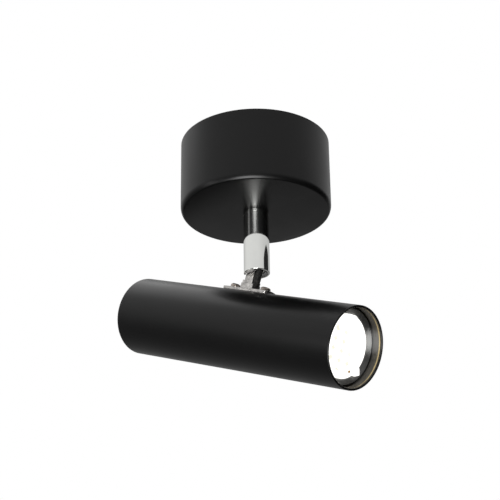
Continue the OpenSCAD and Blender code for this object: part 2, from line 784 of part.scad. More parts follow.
module lamp_optic() color("white") tube_place() {
    rod_x(face_x - 3.6, face_x - 1.6, lens_r);
    rotate([lug_turn, 0, 0]) translate([face_x - 3.6, -lug_w / 2, lens_r - 1.5])
        cube([2.4, lug_w, lug_r - lens_r + 1.5]);
    // Rows of domes, as far as they fit on the face
    for (i = [-3 : 3], j = [-4 : 4])
        let (y = dome_start[0] + i * dome_pitch[0], z = dome_start[1] + j * dome_pitch[1])
            if (norm([y, z]) < lens_r - 3.5) translate([face_x - 1.6, y, z]) dome();
}

module lamp_pins() color("gold") tube_place() for (s = [0, 180]) rotate([s, 0, 0])
    translate([0, 0, pin_pitch / 2]) {
        rod_x(pin_tip_x, pin_tip_x + pin_head_l, pin_head_r);
        rod_x(pin_tip_x, base_x + 3, pin_neck_r);
    }

mounting_bracket();
canopy();
stop_stud();
canopy_screws();
terminal_block();
terminal_inserts();
terminal_screws();
block_screw();
earth_tag();
earth_screw();
supply_wires();
stem_nipple();
stem_nut();
spring_washer();
stem_washer();
stem_collar();
stem_sleeve();
joint_core();
pivot_pin();
friction_washers();
stem_wires();
tongue_bracket();
saddle_screws();
saddle_nuts();
nut_washer();
head_earth_tag();
head_tube();
rear_cap();
holder_strip();
lampholder();
holder_contacts();
holder_screws();
wire_sleeve();
head_wires();
lamp_base();
lamp_body();
lamp_rim();
lamp_board();
lamp_leds();
lamp_optic();
lamp_pins();
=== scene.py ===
import json
import math

import bmesh
import bpy
from mathutils import Matrix, Vector, noise


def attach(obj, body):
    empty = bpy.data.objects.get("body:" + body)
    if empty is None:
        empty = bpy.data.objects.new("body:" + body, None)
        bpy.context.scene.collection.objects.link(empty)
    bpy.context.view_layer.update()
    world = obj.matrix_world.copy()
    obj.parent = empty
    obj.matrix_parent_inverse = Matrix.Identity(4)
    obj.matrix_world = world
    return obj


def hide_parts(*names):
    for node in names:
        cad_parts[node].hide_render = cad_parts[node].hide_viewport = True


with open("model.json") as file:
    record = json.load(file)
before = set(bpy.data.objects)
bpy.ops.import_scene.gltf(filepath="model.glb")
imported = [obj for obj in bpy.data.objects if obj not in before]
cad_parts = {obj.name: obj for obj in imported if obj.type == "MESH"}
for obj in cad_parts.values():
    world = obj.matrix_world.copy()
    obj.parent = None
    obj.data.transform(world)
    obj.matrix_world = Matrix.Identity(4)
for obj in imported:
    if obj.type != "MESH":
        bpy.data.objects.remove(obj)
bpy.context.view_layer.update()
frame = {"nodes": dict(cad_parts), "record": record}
nodes = frame["nodes"]
MM = 0.001
# Edges with a greater angle than this stay sharp or get their small radius
SHARP = math.radians(28)

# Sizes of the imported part, in millimetres. Heights are measured from the ceiling,
# and places along the tube from the tilt joint.
PIVOT_Z = -94.5
PITCH = math.radians(21.5)
AXIS_DROP = 46.6
TUBE_FRONT = 105.0
TUBE_REAR = -95.0
TUBE_R = 27.5
TUBE_BORE = 26.0
LIP_SLOPE = 0.5
LENS_X = 95.9
LENS_R = 21.0
CANOPY_R = 53.0
CANOPY_H = 53.5
CANOPY_EDGE = 4.0
COLLAR_TOP = -53.8
SLEEVE_TOP = -55.8
STEM_R = 9.0
STEM_BORE = 5.3

# Sizes that only this script has, in millimetres, with the angles of the lug in degrees
LIP_RADIUS = 0.34
TUBE_EDGE_RADIUS = 0.6
# Band behind the lip left as bare metal, its gold tint painted warm light from the lit lens
BARE_GLOW_LINE = (102.5, 103.4)
CANOPY_EDGE_DEPTH = 2.4
CANOPY_EDGE_HEIGHT = 4.3
CANOPY_RADIUS = 0.3
TONGUE_RADIUS = 0.35
SCREW_RADIUS = 0.12
RIM_OUTLINE = ((92.5, 21.35), (92.5, 25.5), (96.9, 25.5), (97.5, 24.9), (97.5, 24.6), (94.6, 21.35))
RIM_RADIUS = 0.12
BLACK_SLEEVE_PLACE = (4.2, -0.8)
BLACK_SLEEVE_R = 2.7
BLACK_SLEEVE_SPAN = (-17.6, 0.8)
LENS_DEPTH = 2.0
LENS_EDGE = 0.3
WEB_R = 16.6
DOMES_R = 18.6
DOME_HALF = (1.5, 4.55, 3.35)
DOME_STEP = (8.7, 6.2)
DOME_START = (1.75, -0.7)
DOME_SINK = 0.35
LUG_SIZE = (3.4, 4.9, 4.9)
LUG_SINK = 0.4
LUG_LEAN = -29
LUG_TURN = 233
LUG_RADIUS = 0.5
GATE_PLACE = (8.9, -14.3)
GATE_BACK_R = 0.95
GATE_FRONT_R = 0.8
GATE_DEPTH = 1.6

# From the frame of the head, with its origin on the pivot, to the frame of the whole light
HEAD = Matrix.Translation((0, 0, PIVOT_Z * MM)) @ Matrix.Rotation(PITCH, 4, "Y")
# From the frame of the tube, +X along its axis, to the frame of the whole light
TUBE = HEAD @ Matrix.Translation((0, 0, -AXIS_DROP * MM))
# From a shape turned round x to one that stands on the axis of the stem
UPRIGHT = Matrix.Rotation(-math.pi / 2, 4, "Y")
# Place of a pattern whose x runs along the axis of the tube
ON_AXIS = tuple(-v for v in Matrix.Rotation(-PITCH, 3, "Y") @ TUBE.translation)


# Shader tools

class Tree:
    """A node tree with short calls for adding and joining nodes."""

    def __init__(self, tree):
        self.tree = tree
        self.count = 0

    def add(self, kind, **values):
        node = self.tree.nodes.new(kind)
        node.location = (220 * (self.count % 8), -220 * (self.count // 8))
        self.count += 1
        for name, value in values.items():
            if hasattr(node, name):
                setattr(node, name, value)
            else:
                node.inputs[name.replace("_", " ")].default_value = value
        return node

    def link(self, source, target):
        self.tree.links.new(source, target)

    def math(self, operation, a, b=0.0):
        node = self.add("ShaderNodeMath", operation=operation)
        for socket, value in zip(node.inputs, (a, b)):
            self.feed(socket, value)
        return node.outputs[0]

    def feed(self, socket, value):
        """Sets a socket to a number, or joins it to another socket."""
        if isinstance(value, bpy.types.NodeSocket):
            self.link(value, socket)
        else:
            socket.default_value = value

    def ranged(self, value, low, high, to_low=0.0, to_high=1.0):
        node = self.add("ShaderNodeMapRange")
        self.feed(node.inputs["Value"], value)
        for name, number in (("From Min", low), ("From Max", high), ("To Min", to_low), ("To Max", to_high)):
            self.feed(node.inputs[name], number)
        return node.outputs[0]

    def blend(self, factor, a, b):
        node = self.add("ShaderNodeMix", data_type="FLOAT")
        for socket, value in zip((node.inputs[0], node.inputs[2], node.inputs[3]), (factor, a, b)):
            self.feed(socket, value)
        return node.outputs[0]

    def mix(self, factor, a, b):
        node = self.add("ShaderNodeMix", data_type="RGBA")
        self.feed(node.inputs[0], factor)
        for socket, value in ((node.inputs[6], a), (node.inputs[7], b)):
            self.feed(socket, (*value, 1.0) if isinstance(value, tuple) and len(value) == 3 else value)
        return node.outputs[2]

    def over(self, base, mask, amount, colour):
        """Lays a colour over the base where the mask is, by the amount at most."""
        return self.mix(self.math("MULTIPLY", mask, amount), base, colour)

    def noise(self, vector, scale, detail=3.0, roughness=0.5):
        node = self.add("ShaderNodeTexNoise")
        self.link(vector, node.inputs["Vector"])
        for name, value in (("Scale", scale), ("Detail", detail), ("Roughness", roughness)):
            self.feed(node.inputs[name], value)
        return node.outputs[0]


def group(name, inputs, outputs):
    """An empty shader node group with named sockets, as (group, tree, input node, output node)."""
    made = bpy.data.node_groups.new(name, "ShaderNodeTree")
    for socket, kind, value in inputs:
        item = made.interface.new_socket(socket, in_out="INPUT", socket_type=kind)
        if value is not None:
            item.default_value = value
    for socket, kind in outputs:
        made.interface.new_socket(socket, in_out="OUTPUT", socket_type=kind)
    tree = Tree(made)
    return made, tree, tree.add("NodeGroupInput"), tree.add("NodeGroupOutput")


FLOAT, VECTOR = "NodeSocketFloat", "NodeSocketVector"


def make_edge_group():
    """Rounds the shading of sharp edges and says where they are."""
    made, tree, start, end = group(
        "rounded edges", [("Radius", FLOAT, 0.0004)], [("Normal", VECTOR), ("Edge", FLOAT)])
    bevel = tree.add("ShaderNodeBevel", samples=6)
    tree.link(start.outputs["Radius"], bevel.inputs["Radius"])
    plain = tree.add("ShaderNodeNewGeometry")
    dot = tree.add("ShaderNodeVectorMath", operation="DOT_PRODUCT")
    tree.link(bevel.outputs[0], dot.inputs[0])
    tree.link(plain.outputs["Normal"], dot.inputs[1])
    tree.link(bevel.outputs[0], end.inputs["Normal"])
    tree.link(tree.ranged(dot.outputs["Value"], 0.995, 0.86), end.inputs["Edge"])
    return made


def make_paint_group():
    """Fine orange peel, soft handling marks and specks of dust on sprayed paint."""
    made, tree, start, end = group(
        "sprayed paint",
        [("Vector", VECTOR, None), ("Peel Scale", FLOAT, 900.0), ("Mark Scale", FLOAT, 28.0)],
        [("Height", FLOAT), ("Marks", FLOAT), ("Dust", FLOAT)])
    vector = start.outputs["Vector"]
    peel = tree.noise(vector, start.outputs["Peel Scale"], 2.0, 0.45)
    marks = tree.noise(vector, start.outputs["Mark Scale"], 4.0, 0.6)
    dust = tree.add("ShaderNodeTexVoronoi", feature="F1")
    tree.link(vector, dust.inputs["Vector"])
    dust.inputs["Scale"].default_value = 260.0
    tree.link(peel, end.inputs["Height"])
    tree.link(tree.ranged(marks, 0.32, 0.68), end.inputs["Marks"])
    tree.link(tree.ranged(dust.outputs["Distance"], 0.06, 0.03), end.inputs["Dust"])
    return made


def make_brush_group():
    """Lines of a brushed or drawn metal, long along the vector's z."""
    made, tree, start, end = group(
        "brushed lines",
        [("Vector", VECTOR, None), ("Fineness", FLOAT, 1500.0), ("Length", FLOAT, 0.03)],
        [("Height", FLOAT), ("Tone", FLOAT)])
    parts = tree.add("ShaderNodeSeparateXYZ")
    tree.link(start.outputs["Vector"], parts.inputs[0])
    join = tree.add("ShaderNodeCombineXYZ")
    tree.link(parts.outputs[0], join.inputs[0])
    tree.link(parts.outputs[1], join.inputs[1])
    tree.link(tree.math("MULTIPLY", parts.outputs[2], start.outputs["Length"]), join.inputs[2])
    lines = tree.noise(join.outputs[0], start.outputs["Fineness"], 3.0, 0.6)
    wide = tree.noise(join.outputs[0], 240.0, 2.0, 0.5)
    tree.link(lines, end.inputs["Height"])
    tree.link(tree.ranged(wide, 0.3, 0.7), end.inputs["Tone"])
    return made


def make_grain_group():
    """Cast, ceramic or moulded grain with blotches."""
    made, tree, start, end = group(
        "moulded grain",
        [("Vector", VECTOR, None), ("Grain Scale", FLOAT, 1400.0), ("Blotch Scale", FLOAT, 90.0)],
        [("Height", FLOAT), ("Blotch", FLOAT)])
    grain = tree.noise(start.outputs["Vector"], start.outputs["Grain Scale"], 4.0, 0.6)
    blotch = tree.noise(start.outputs["Vector"], start.outputs["Blotch Scale"], 3.0, 0.55)
    tree.link(grain, end.inputs["Height"])
    tree.link(tree.ranged(blotch, 0.35, 0.65), end.inputs["Blotch"])
    return made


def make_turned_group():
    """Fine rings left by turning, round the x axis of the vector."""
    made, tree, start, end = group(
        "turned rings", [("Vector", VECTOR, None), ("Fineness", FLOAT, 2200.0)],
        [("Height", FLOAT), ("Tone", FLOAT)])
    parts = tree.add("ShaderNodeSeparateXYZ")
    tree.link(start.outputs["Vector"], parts.inputs[0])
    across = tree.math("SQRT", tree.math(
        "ADD", tree.math("MULTIPLY", parts.outputs[1], parts.outputs[1]),
        tree.math("MULTIPLY", parts.outputs[2], parts.outputs[2])))
    join = tree.add("ShaderNodeCombineXYZ")
    tree.link(across, join.inputs[0])
    tree.link(parts.outputs[0], join.inputs[1])
    lines = tree.noise(join.outputs[0], start.outputs["Fineness"], 3.0, 0.65)
    wide = tree.noise(join.outputs[0], 500.0, 2.0, 0.5)
    tree.link(lines, end.inputs["Height"])
    tree.link(tree.ranged(wide, 0.35, 0.65), end.inputs["Tone"])
    return made


EDGES = make_edge_group()
PAINT = make_paint_group()
BRUSH = make_brush_group()
GRAIN = make_grain_group()
TURNED = make_turned_group()


class Finish(Tree):
    """A material with its Principled shader and Object coordinates, turned and moved where a pattern asks."""

    def __init__(self, name, turn=(0.0, 0.0, 0.0), move=(0.0, 0.0, 0.0), **values):
        self.material = bpy.data.materials.new(name)
        self.material.use_nodes = True
        super().__init__(self.material.node_tree)
        self.tree.nodes.clear()
        self.shader = self.add("ShaderNodeBsdfPrincipled")
        out = self.add("ShaderNodeOutputMaterial")
        self.link(self.shader.outputs[0], out.inputs[0])
        for socket, value in values.items():
            self.set(socket.replace("_", " "), value)
        place = self.add("ShaderNodeTexCoord")
        mapping = self.add("ShaderNodeMapping")
        mapping.inputs["Rotation"].default_value = turn
        mapping.inputs["Location"].default_value = move
        self.link(place.outputs["Object"], mapping.inputs["Vector"])
        self.place = mapping.outputs[0]

    def set(self, socket, value):
        if isinstance(value, tuple) and len(value) == 3:
            value = (*value, 1.0)
        self.feed(self.shader.inputs[socket], value)

    def use(self, tree, **values):
        node = self.add("ShaderNodeGroup")
        node.node_tree = tree
        if "Vector" in node.inputs:
            self.link(self.place, node.inputs["Vector"])
        for name, value in values.items():
            self.feed(node.inputs[name.replace("_", " ")], value)
        return node

    def rough(self, mask, low, high):
        """Lets the roughness follow a mask."""
        self.set("Roughness", self.ranged(mask, 0.0, 1.0, low, high))

    def stretch(self, axis):
        """Draws the gloss out round an axis of the piece, as lathe marks do."""
        node = self.add(
            "ShaderNodeVectorTransform", vector_type="VECTOR", convert_from="OBJECT", convert_to="WORLD")
        node.inputs[0].default_value = axis
        self.link(node.outputs[0], self.shader.inputs["Tangent"])

    def bump(self, height, strength, distance, normal=None):
        node = self.add("ShaderNodeBump")
        node.inputs["Strength"].default_value = strength
        node.inputs["Distance"].default_value = distance
        self.link(height, node.inputs["Height"])
        if normal is not None:
            self.link(normal, node.inputs["Normal"])
        self.link(node.outputs[0], self.shader.inputs["Normal"])


def scaled(colour, by):
    """A colour times a number, white at most."""
    return tuple(min(1.0, by * part) for part in colour)


def black_paint(name, colour, rough, peel=0.10):
    """Satin black paint with a fine peel, soft marks and paler edges."""
    made = Finish(name, Metallic=0.0, Specular_IOR_Level=0.25)
    paint = made.use(PAINT)
    edges = made.use(EDGES, Radius=0.0005)
    base = made.over(colour, paint.outputs["Dust"], 0.25, (0.05, 0.05, 0.05))
    base = made.over(base, edges.outputs["Edge"], 0.35, (0.035, 0.035, 0.035))
    made.set("Base Color", base)
    made.rough(paint.outputs["Marks"], rough - 0.025, rough + 0.03)
    made.bump(paint.outputs["Height"], peel, 0.00004, edges.outputs["Normal"])
    return made.material


def bright_metal(name, colour, dark, rough, spread=0.1, line=0.15, fineness=1500.0):
    """Plated, brushed or drawn metal: upright lines, darker marks, brighter edges."""
    made = Finish(name, Metallic=1.0)
    brush = made.use(BRUSH, Fineness=fineness)
    grain = made.use(GRAIN)
    edges = made.use(EDGES, Radius=0.0003)
    base = made.over(colour, brush.outputs["Tone"], 0.5, dark)
    base = made.over(base, grain.outputs["Blotch"], 0.35, dark)
    base = made.over(base, edges.outputs["Edge"], 0.6, scaled(colour, 1.25))
    made.set("Base Color", base)
    made.rough(grain.outputs["Blotch"], rough, rough + spread)
    made.bump(brush.outputs["Height"], line, 0.00003, edges.outputs["Normal"])
    return made.material


def cast_zinc(name, colour, dark):
    """Plated zinc casting with a lumpy skin that breaks up what it mirrors, and dark blotches on the lumps
    that are painted reflection contrast.
    """
    made = Finish(name, Metallic=1.0)
    lumps_and_painted_reflection = made.use(GRAIN, Grain_Scale=420.0, Blotch_Scale=210.0)
    fine = made.use(GRAIN, Grain_Scale=1800.0, Blotch_Scale=900.0)
    edges = made.use(EDGES, Radius=0.0004)
    # Dark blotches over the lumps are painted reflection contrast: the dark surroundings that the lumpy skin
    # mirrors
    base = made.over(colour, lumps_and_painted_reflection.outputs["Blotch"], 0.6, dark)
    base = made.over(base, edges.outputs["Edge"], 0.8, (0.86, 0.86, 0.85))
    made.set("Base Color", base)
    made.rough(fine.outputs["Blotch"], 0.2, 0.34)
    made.bump(lumps_and_painted_reflection.outputs["Blotch"], 0.5, 0.0005, edges.outputs["Normal"])
    return made.material


def woven_black(name):
    """Matt black sleeving with a rough, mottled skin."""
    made = Finish(name, Specular_IOR_Level=0.2)
    weave = made.use(GRAIN, Grain_Scale=900.0, Blotch_Scale=800.0)
    tufts = made.ranged(weave.outputs["Height"], 0.5, 0.72)
    made.set("Base Color", made.mix(tufts, (0.004, 0.004, 0.0035), (0.05, 0.046, 0.04)))
    made.rough(weave.outputs["Blotch"], 0.55, 0.75)
    made.bump(weave.outputs["Height"], 0.7, 0.0004)
    return made.material


def plain_plastic(name, colour, shade, rough, grain=0.1, **values):
    """Moulded plastic or ceramic with fine grain and blotches."""
    made = Finish(name, **values)
    skin = made.use(GRAIN)
    edges = made.use(EDGES, Radius=0.0003)
    base = made.over(colour, skin.outputs["Blotch"], 0.5, shade)
    made.set("Base Color", made.over(base, edges.outputs["Edge"], 0.3, scaled(colour, 1.15)))
    made.rough(skin.outputs["Blotch"], rough, rough + 0.08)
    made.bump(skin.outputs["Height"], grain, 0.00005, edges.outputs["Normal"])
    return made.material


def polished_chrome(name, rounded=True):
    """Mirror chrome with the faintest wipe marks, with softened or with crisp edges."""
    made = Finish(name, Metallic=1.0)
    grain = made.use(GRAIN, Grain_Scale=160.0, Blotch_Scale=45.0)
    made.set("Base Color", made.mix(grain.outputs["Blotch"], (0.76, 0.765, 0.74), (0.72, 0.725, 0.705)))
    made.rough(grain.outputs["Blotch"], 0.03, 0.06)
    if rounded:
        edges = made.use(EDGES, Radius=0.00025)
        made.link(edges.outputs["Normal"], made.shader.inputs["Normal"])
    return made.material


def insulation(name, colour, shade, stripe=None):
    """Wire insulation with a waxy skin, two coloured for the earth wire."""
    made = Finish(name)
    skin = made.use(GRAIN, Grain_Scale=700.0, Blotch_Scale=60.0)
    base = made.mix(skin.outputs["Blotch"], colour, shade)
    if stripe:
        bands = made.add("ShaderNodeTexWave", wave_type="BANDS", bands_direction="DIAGONAL")
        made.link(made.place, bands.inputs["Vector"])
        bands.inputs["Scale"].default_value = 90.0
        base = made.mix(made.ranged(bands.outputs["Fac"], 0.45, 0.55), base, stripe)
    made.set("Base Color", base)
    made.rough(skin.outputs["Blotch"], 0.35, 0.45)
    made.bump(skin.outputs["Height"], 0.08, 0.00005)
    return made.material


def lit_lens(name, glow, strength, tint):
    """Clear moulded domes of the lens, lit by the diodes behind them."""
    made = Finish(name, Emission_Strength=strength)
    skin = made.use(GRAIN, Blotch_Scale=140.0)
    made.set("Base Color", made.mix(skin.outputs["Blotch"], tint, scaled(tint, 0.96)))
    made.set("Emission Color", made.mix(skin.outputs["Blotch"], glow, scaled(glow, 0.97)))
    made.rough(skin.outputs["Blotch"], 0.10, 0.16)
    made.bump(skin.outputs["Height"], 0.05, 0.00003)
    return made.material


def lens_web():
    """The flat of the lens between its domes, a little weaker and yellower over its lower half."""
    made = Finish("lit lens web", Emission_Strength=1.0, turn=(0.0, -PITCH, 0.0), move=ON_AXIS)
    skin = made.use(GRAIN, Blotch_Scale=260.0)
    parts = made.add("ShaderNodeSeparateXYZ")
    made.link(made.place, parts.inputs[0])
    side = made.math("ADD", parts.outputs[1], made.math("MULTIPLY", parts.outputs[2], 0.6))
    weak = made.ranged(side, 0.001, 0.010, 1.0, 0.0)
    made.set("Emission Color", made.mix(weak, (1.1, 1.1, 1.05), (0.84, 0.825, 0.71)))
    made.set("Base Color", made.mix(skin.outputs["Blotch"], (0.3, 0.29, 0.24), (0.24, 0.23, 0.18)))
    made.rough(skin.outputs["Blotch"], 0.2, 0.3)
    return made.material


def turned_finish(name, tone, dark, rough, metallic=1.0, drawn=0.85):
    """Turned metal round the mouth, bare, blackened or lacquered, with fine rings from the lathe."""
    made = Finish(name, turn=(0.0, -PITCH, 0.0), move=ON_AXIS,
                  Metallic=metallic, Anisotropic=drawn, Specular_IOR_Level=0.9)
    rings = made.use(TURNED, Fineness=1600.0)
    grain = made.use(GRAIN)
    made.set("Base Color", made.over(tone, rings.outputs["Tone"], 0.6, dark))
    made.rough(grain.outputs["Blotch"], rough, rough + 0.04)
    made.bump(rings.outputs["Height"], 0.03, 0.00002)
    made.stretch(TUBE.to_3x3() @ Vector((1, 0, 0)))
    return made.material


# Finishes by the slots of the record
FINISHES = {
    "zinc_strap": bright_metal("zinc plated strap", (0.62, 0.63, 0.64), (0.45, 0.46, 0.48), 0.32, line=0.12),
    "black_canopy_paint": black_paint("black canopy paint", (0.0026, 0.0026, 0.0027), 0.325),
    "black_screw_steel": black_paint("blackened grub screw", (0.016, 0.016, 0.017), 0.4),
    "white_block_plastic": plain_plastic("white terminal block", (0.82, 0.82, 0.78), (0.74, 0.74, 0.7), 0.42),
    "clamp_brass": bright_metal("brass clamp tube", (0.72, 0.52, 0.24), (0.55, 0.38, 0.17), 0.28),
    "clamp_screw_steel": bright_metal("zinc clamp screw", (0.62, 0.63, 0.64), (0.4, 0.41, 0.43), 0.3),
    "earth_brass": bright_metal("brass earth parts", (0.74, 0.56, 0.28), (0.58, 0.42, 0.2), 0.26),
    "wire_insulation": insulation("brown insulation", (0.16, 0.065, 0.03), (0.12, 0.05, 0.025)),
    "nipple_brass": bright_metal(
        "brass nipple", (0.72, 0.55, 0.28), (0.5, 0.37, 0.17), 0.3, line=0.4, fineness=900.0),
    "zinc_hardware": bright_metal("zinc hardware", (0.6, 0.61, 0.62), (0.42, 0.43, 0.45), 0.3, 0.12),
    "spring_steel": bright_metal("oiled spring steel", (0.3, 0.3, 0.31), (0.16, 0.16, 0.17), 0.3, 0.12),
    "stem_chrome": polished_chrome("polished stem chrome"),
    "core_zinc": bright_metal("cast zinc core", (0.48, 0.48, 0.48), (0.3, 0.3, 0.3), 0.42, 0.12),
    "pin_steel": bright_metal("turned pin", (0.58, 0.58, 0.59), (0.4, 0.4, 0.41), 0.25),
    "friction_plastic": plain_plastic("drag washer", (0.72, 0.71, 0.67), (0.62, 0.61, 0.57), 0.45),
    # The second colour is the painted reflection contrast in the blotches of the casting
    "tongue_steel": cast_zinc("cast zinc tongue", (0.62, 0.6, 0.575), (0.17, 0.165, 0.16)),
    "saddle_screw_nickel": bright_metal(
        "warm nickel screw", (0.5, 0.44, 0.39), (0.07, 0.057, 0.05), 0.1, line=0.1),
    "black_tube_paint": black_paint("black tube paint", (0.0018, 0.0018, 0.0019), 0.33),
    "black_cap_paint": black_paint("black cap paint", (0.013, 0.013, 0.0135), 0.38, 0.2),
    "strip_steel": bright_metal("zinc strip", (0.6, 0.61, 0.62), (0.44, 0.45, 0.47), 0.32),
    "holder_ceramic": plain_plastic("lampholder ceramic", (0.84, 0.82, 0.77), (0.76, 0.74, 0.68), 0.55, 0.25),
    "contact_brass": bright_metal("brass contact", (0.75, 0.58, 0.3), (0.58, 0.42, 0.2), 0.25),
    "black_sleeve_plastic": woven_black("black wire sleeve"),
    "lamp_base_plastic": plain_plastic("white lamp base", (0.84, 0.84, 0.82), (0.78, 0.78, 0.75), 0.38),
    "lamp_aluminium": bright_metal("lamp aluminium", (0.66, 0.67, 0.68), (0.5, 0.51, 0.52), 0.36),
    "lamp_rim_metal": turned_finish("blackened lamp rim", (0.16, 0.16, 0.156), (0.11, 0.11, 0.107), 0.42),
    "lamp_board_laminate": plain_plastic("white lamp board", (0.86, 0.86, 0.83), (0.8, 0.8, 0.76), 0.35),
    "led_phosphor": plain_plastic("led phosphor", (0.92, 0.76, 0.3), (0.88, 0.7, 0.26), 0.3),
    "lamp_optic_plastic": lit_lens("lit lens domes", (1.0, 0.985, 0.96), 1.12, (0.9, 0.9, 0.88)),
    "pin_brass": bright_metal("nickel plated lamp pin", (0.7, 0.62, 0.48), (0.55, 0.47, 0.36), 0.24, 0.08),
}

# Finishes that no node has as its own
EXTRA = {
    "blue": insulation("blue insulation", (0.03, 0.09, 0.32), (0.025, 0.07, 0.25)),
    "earth": insulation(
        "green and yellow insulation", (0.06, 0.3, 0.07), (0.05, 0.25, 0.06), stripe=(0.7, 0.6, 0.06)),
    "collar": polished_chrome("polished collar chrome", rounded=False),
    "web": lens_web(),
    "gate": plain_plastic(
        "amber gate mark", (0.3, 0.16, 0.05), (0.2, 0.1, 0.03), 0.3,
        Emission_Strength=0.25, Emission_Color=(0.9, 0.6, 0.25)),
    "mouth": turned_finish(
        "black lacquer in the mouth", (0.012, 0.009, 0.004), (0.008, 0.006, 0.003), 0.42,
        metallic=0.0, drawn=1.0),
    # Bare metal line whose gold tint is painted warm light from the lit lens
    "bare_line_painted_glow": turned_finish("bare line behind the lip", (0.3, 0.25, 0.145), (0.2, 0.165, 0.095), 0.3),
}

slot_of = {row["node"]: row["material_slot"] for row in frame["record"]["subparts"]}
body_of = {name: body for body, names in frame["record"]["behaviour"]["bodies"].items() for name in names}
for name, piece in nodes.items():
    piece.data.materials.clear()
    piece.data.materials.append(FINISHES[slot_of[name]])


# Pieces

def joined(name):
    """The surface of a node as one joined mesh."""
    shape = bmesh.new()
    shape.from_mesh(nodes[name].data)
    bmesh.ops.remove_doubles(shape, verts=shape.verts, dist=1e-6)
    return shape


def skin_of(name):
    """The surface of a node with each flat part a single face."""
    shape = joined(name)
    bmesh.ops.dissolve_limit(
        shape, angle_limit=math.radians(0.2), verts=shape.verts, edges=shape.edges)
    return shape


def make_piece(name, shape, node, finishes=None):
    """An object from a bmesh, riding with the body of the node that it belongs to."""
    mesh = bpy.data.meshes.new(name)
    shape.to_mesh(mesh)
    shape.free()
    mesh.shade_smooth()
    mesh.set_sharp_from_angle(angle=SHARP)
    for finish in finishes or [FINISHES[slot_of[node]]]:
        mesh.materials.append(finish)
    made = bpy.data.objects.new(name, mesh)
    bpy.context.scene.collection.objects.link(made)
    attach(made, body_of[node])
    return made


def round_edges(made, width):
    """A small radius on every sharp edge, with flat faces kept flat in the light."""
    step = made.modifiers.new("small radius", "BEVEL")
    step.width = width * MM
    step.segments = 3
    step.limit_method = "ANGLE"
    step.angle_limit = SHARP
    step.harden_normals = True
    step.use_clamp_overlap = True


def flatten(made):
    """Keeps flat faces flat in the light beside their small radii."""
    step = made.modifiers.new("flat faces", "WEIGHTED_NORMAL")
    step.keep_sharp = True


def rounded_copy(name, node, width):
    """The node with its edges rounded as the real piece has them."""
    made = make_piece(name, skin_of(node), node)
    round_edges(made, width)
    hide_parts(node)


def turned(shape, outline, steps=128):
    """Spins an outline of (x, r) points in millimetres round the x axis."""
    points = [shape.verts.new((x * MM, 0, r * MM)) for x, r in outline]
    edges = [shape.edges.new(pair) for pair in zip(points, points[1:])]
    if outline[0][1] > 0:
        edges.append(shape.edges.new((points[-1], points[0])))
    bmesh.ops.spin(shape, geom=points + edges, axis=(1, 0, 0), cent=(0, 0, 0), angle=2 * math.pi,
                   steps=steps, use_merge=True)
    bmesh.ops.remove_doubles(shape, verts=shape.verts, dist=1e-6)
    bmesh.ops.recalc_face_normals(shape, faces=shape.faces)


def ring_edges(shape, x, r, reach=0.05):
    """Edges of the ring that lies at x and r of a shape in the frame of the tube."""
    found = []
    for edge in shape.edges:
        if all(abs(vert.co.x / MM - x) < reach and abs(math.hypot(vert.co.y, vert.co.z) / MM - r) < reach
               for vert in edge.verts):
            found.append(edge)
    return found


def soften(shape, edges, offset, segments=4):
    """Rounds some edges, by an offset in millimetres."""
    bmesh.ops.bevel(shape, geom=edges, offset=offset * MM, offset_type="OFFSET", segments=segments,
                    profile=0.5, affect="EDGES", material=-1, clamp_overlap=True)


def loose_parts(shape):
    """The separate bodies of a mesh, as lists of vertices."""
    left = set(shape.verts)
    parts = []
    for vert in list(shape.verts):
        if vert not in left:
            continue
        part, border = {vert}, [vert]
        while border:
            for link in border.pop().link_edges:
                for other in link.verts:
                    if other not in part:
                        part.add(other)
                        border.append(other)
        left -= part
        parts.append(part)
    return parts


def wires(node, names, finishes):
    """One piece for each wire of a bunch, in its own colour."""
    made = []
    for index, name in enumerate(names):
        shape = joined(node)
        parts = loose_parts(shape)
        parts.sort(key=lambda part: min(vert.index for vert in part))
        others = [vert for number, part in enumerate(parts) if number != index for vert in part]
        bmesh.ops.delete(shape, geom=others, context="VERTS")
        made.append(make_piece(name, shape, node, [finishes[index]]))
    for wire in made:
        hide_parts(node)


def make_tube():
    """Head tube with rolled edges, lacquer inside its mouth and a bare line behind the lip, tinted gold as
    painted warm light from the lens.
    """
    shape = skin_of("head_tube")
    bmesh.ops.transform(shape, matrix=TUBE.inverted(), verts=shape.verts)
    paint, lacquer, bare = range(3)
    for face in shape.faces:
        middle = face.calc_center_median()
        across = Vector((0.0, middle.y, middle.z))
        if middle.x > 0 and across.length < (TUBE_R - 0.3) * MM and face.normal.dot(across) < 0:
            face.material_index = lacquer
    for x in BARE_GLOW_LINE:
        wall = [face for face in shape.faces if face.material_index == lacquer]
        around = list({part for face in wall for part in (*face.edges, *face.verts)})
        bmesh.ops.bisect_plane(shape, geom=wall + around, plane_co=(x * MM, 0, 0), plane_no=(1, 0, 0))
    for face in shape.faces:
        along = face.calc_center_median().x / MM
        if face.material_index == lacquer and along > BARE_GLOW_LINE[0]:
            face.material_index = bare if along < BARE_GLOW_LINE[1] else paint
    inner, outer = [], []
    for x, r in ((TUBE_FRONT - LIP_SLOPE, TUBE_BORE), (TUBE_FRONT, TUBE_BORE + LIP_SLOPE)):
        inner += ring_edges(shape, x, r)
    soften(shape, inner, LIP_RADIUS)
    for x in (TUBE_FRONT, TUBE_REAR):
        outer += ring_edges(shape, x, TUBE_R)
    soften(shape, outer, TUBE_EDGE_RADIUS)
    bmesh.ops.transform(shape, matrix=TUBE, verts=shape.verts)
    made = make_piece("head_tube_shell", shape, "head_tube",
                      [FINISHES["black_tube_paint"], EXTRA["mouth"], EXTRA["bare_line_painted_glow"]])
    flatten(made)
    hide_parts("head_tube")


